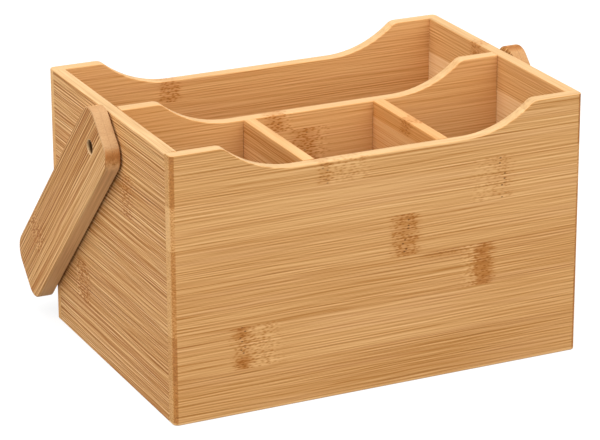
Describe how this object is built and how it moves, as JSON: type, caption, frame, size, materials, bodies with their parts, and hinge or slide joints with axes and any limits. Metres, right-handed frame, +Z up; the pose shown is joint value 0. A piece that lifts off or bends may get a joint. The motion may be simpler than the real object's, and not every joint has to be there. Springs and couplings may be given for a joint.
{
  "type": "cutlery caddy",
  "caption": "Open wooden caddy with scooped walls, one long rear bay and a divided front bay, and a handle that swings over it.",
  "frame": {"origin": "centre of the underside of the box, on the surface that it stands on", "axes": "+X along the box's width to the right as seen from the front, +Y from the front wall to the back wall, +Z up"},
  "size_m": [0.263, 0.2042, 0.1524],
  "materials": {
    "front_bamboo": "light bamboo with a clear satin finish",
    "end_bamboo": "bamboo with a clear satin finish",
    "inner_bamboo": "bamboo with a clear satin finish",
    "handle_bamboo": "slightly darker bamboo with a clear satin finish",
    "screw_steel": "plain zinc plated steel"
  },
  "bodies": {
    "caddy": {"front_panel": "front_bamboo", "back_panel": "inner_bamboo", "left_end_panel": "end_bamboo", "right_end_panel": "end_bamboo", "floor_panel": "inner_bamboo", "middle_divider": "inner_bamboo", "left_cross_divider": "inner_bamboo", "right_cross_divider": "inner_bamboo", "left_pivot_screw": "screw_steel", "right_pivot_screw": "screw_steel", "left_pivot_washer": "screw_steel", "right_pivot_washer": "screw_steel"},
    "handle": {"left_handle_arm": "handle_bamboo", "right_handle_arm": "handle_bamboo", "handle_grip": "handle_bamboo"}
  },
  "joints": [
    {"name": "handle_swing", "type": "hinge", "parent": "caddy", "child": "handle", "pos_m": [0, 0, 0.1305], "axis": [1, 0, 0], "range_deg": [0, 270.6]}
  ]
}
